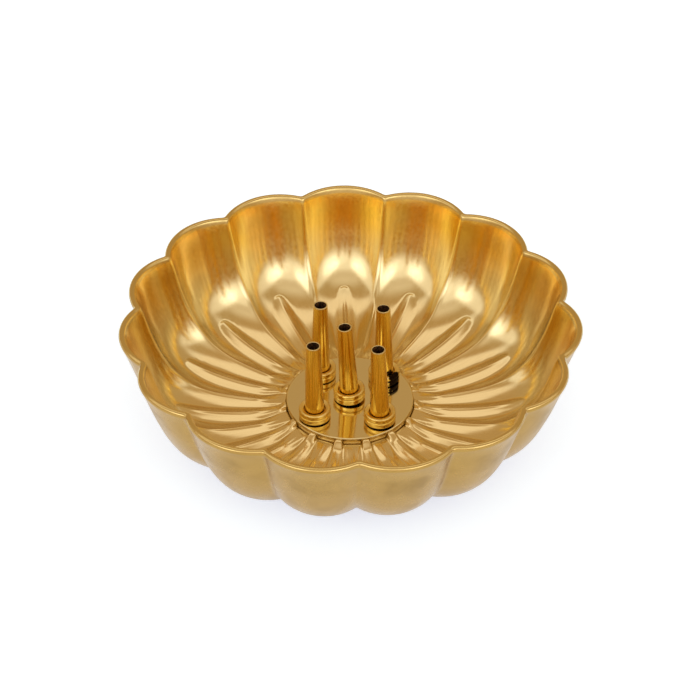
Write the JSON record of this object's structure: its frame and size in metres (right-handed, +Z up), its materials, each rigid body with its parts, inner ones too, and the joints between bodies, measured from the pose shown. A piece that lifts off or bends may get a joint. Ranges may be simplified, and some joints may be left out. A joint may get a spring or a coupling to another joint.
{
  "type": "urli bowl with incense stand",
  "caption": "Scalloped brass urli bowl with a lift-out round plate that carries upright tapered incense-stick nozzles on collars.",
  "frame": {"origin": "centre of the bowl's flat foot, on the surface that it stands on", "axes": "+Z up along the bowl's axis; -Y through a valley between two lobes at the front; +X to the right"},
  "size_m": [0.1512, 0.1506, 0.0423],
  "materials": {
    "bowl_brass": "polished inside, satin outside",
    "plate_brass": "mirror polished",
    "nozzle_brass": "drawn and lightly polished, with fine lengthwise marks",
    "collar_brass": "turned, edges worn pale",
    "nut_brass": "turned, unpolished"
  },
  "bodies": {
    "bowl": {"bowl": "bowl_brass"},
    "stand": {"stand_plate": "plate_brass", "nozzle_centre": "nozzle_brass", "nozzle_back_right": "nozzle_brass", "nozzle_back_left": "nozzle_brass", "nozzle_front_left": "nozzle_brass", "nozzle_front_right": "nozzle_brass", "collar_centre": "collar_brass", "collar_back_right": "collar_brass", "collar_back_left": "collar_brass", "collar_front_left": "collar_brass", "collar_front_right": "collar_brass", "lock_nut_centre": "nut_brass", "lock_nut_back_right": "nut_brass", "lock_nut_back_left": "nut_brass", "lock_nut_front_left": "nut_brass", "lock_nut_front_right": "nut_brass"}
  },
  "joints": [
    {"name": "stand_lift", "type": "slide", "parent": "bowl", "child": "stand", "axis": [0, 0, 1], "range_m": [0, 0.05]}
  ]
}
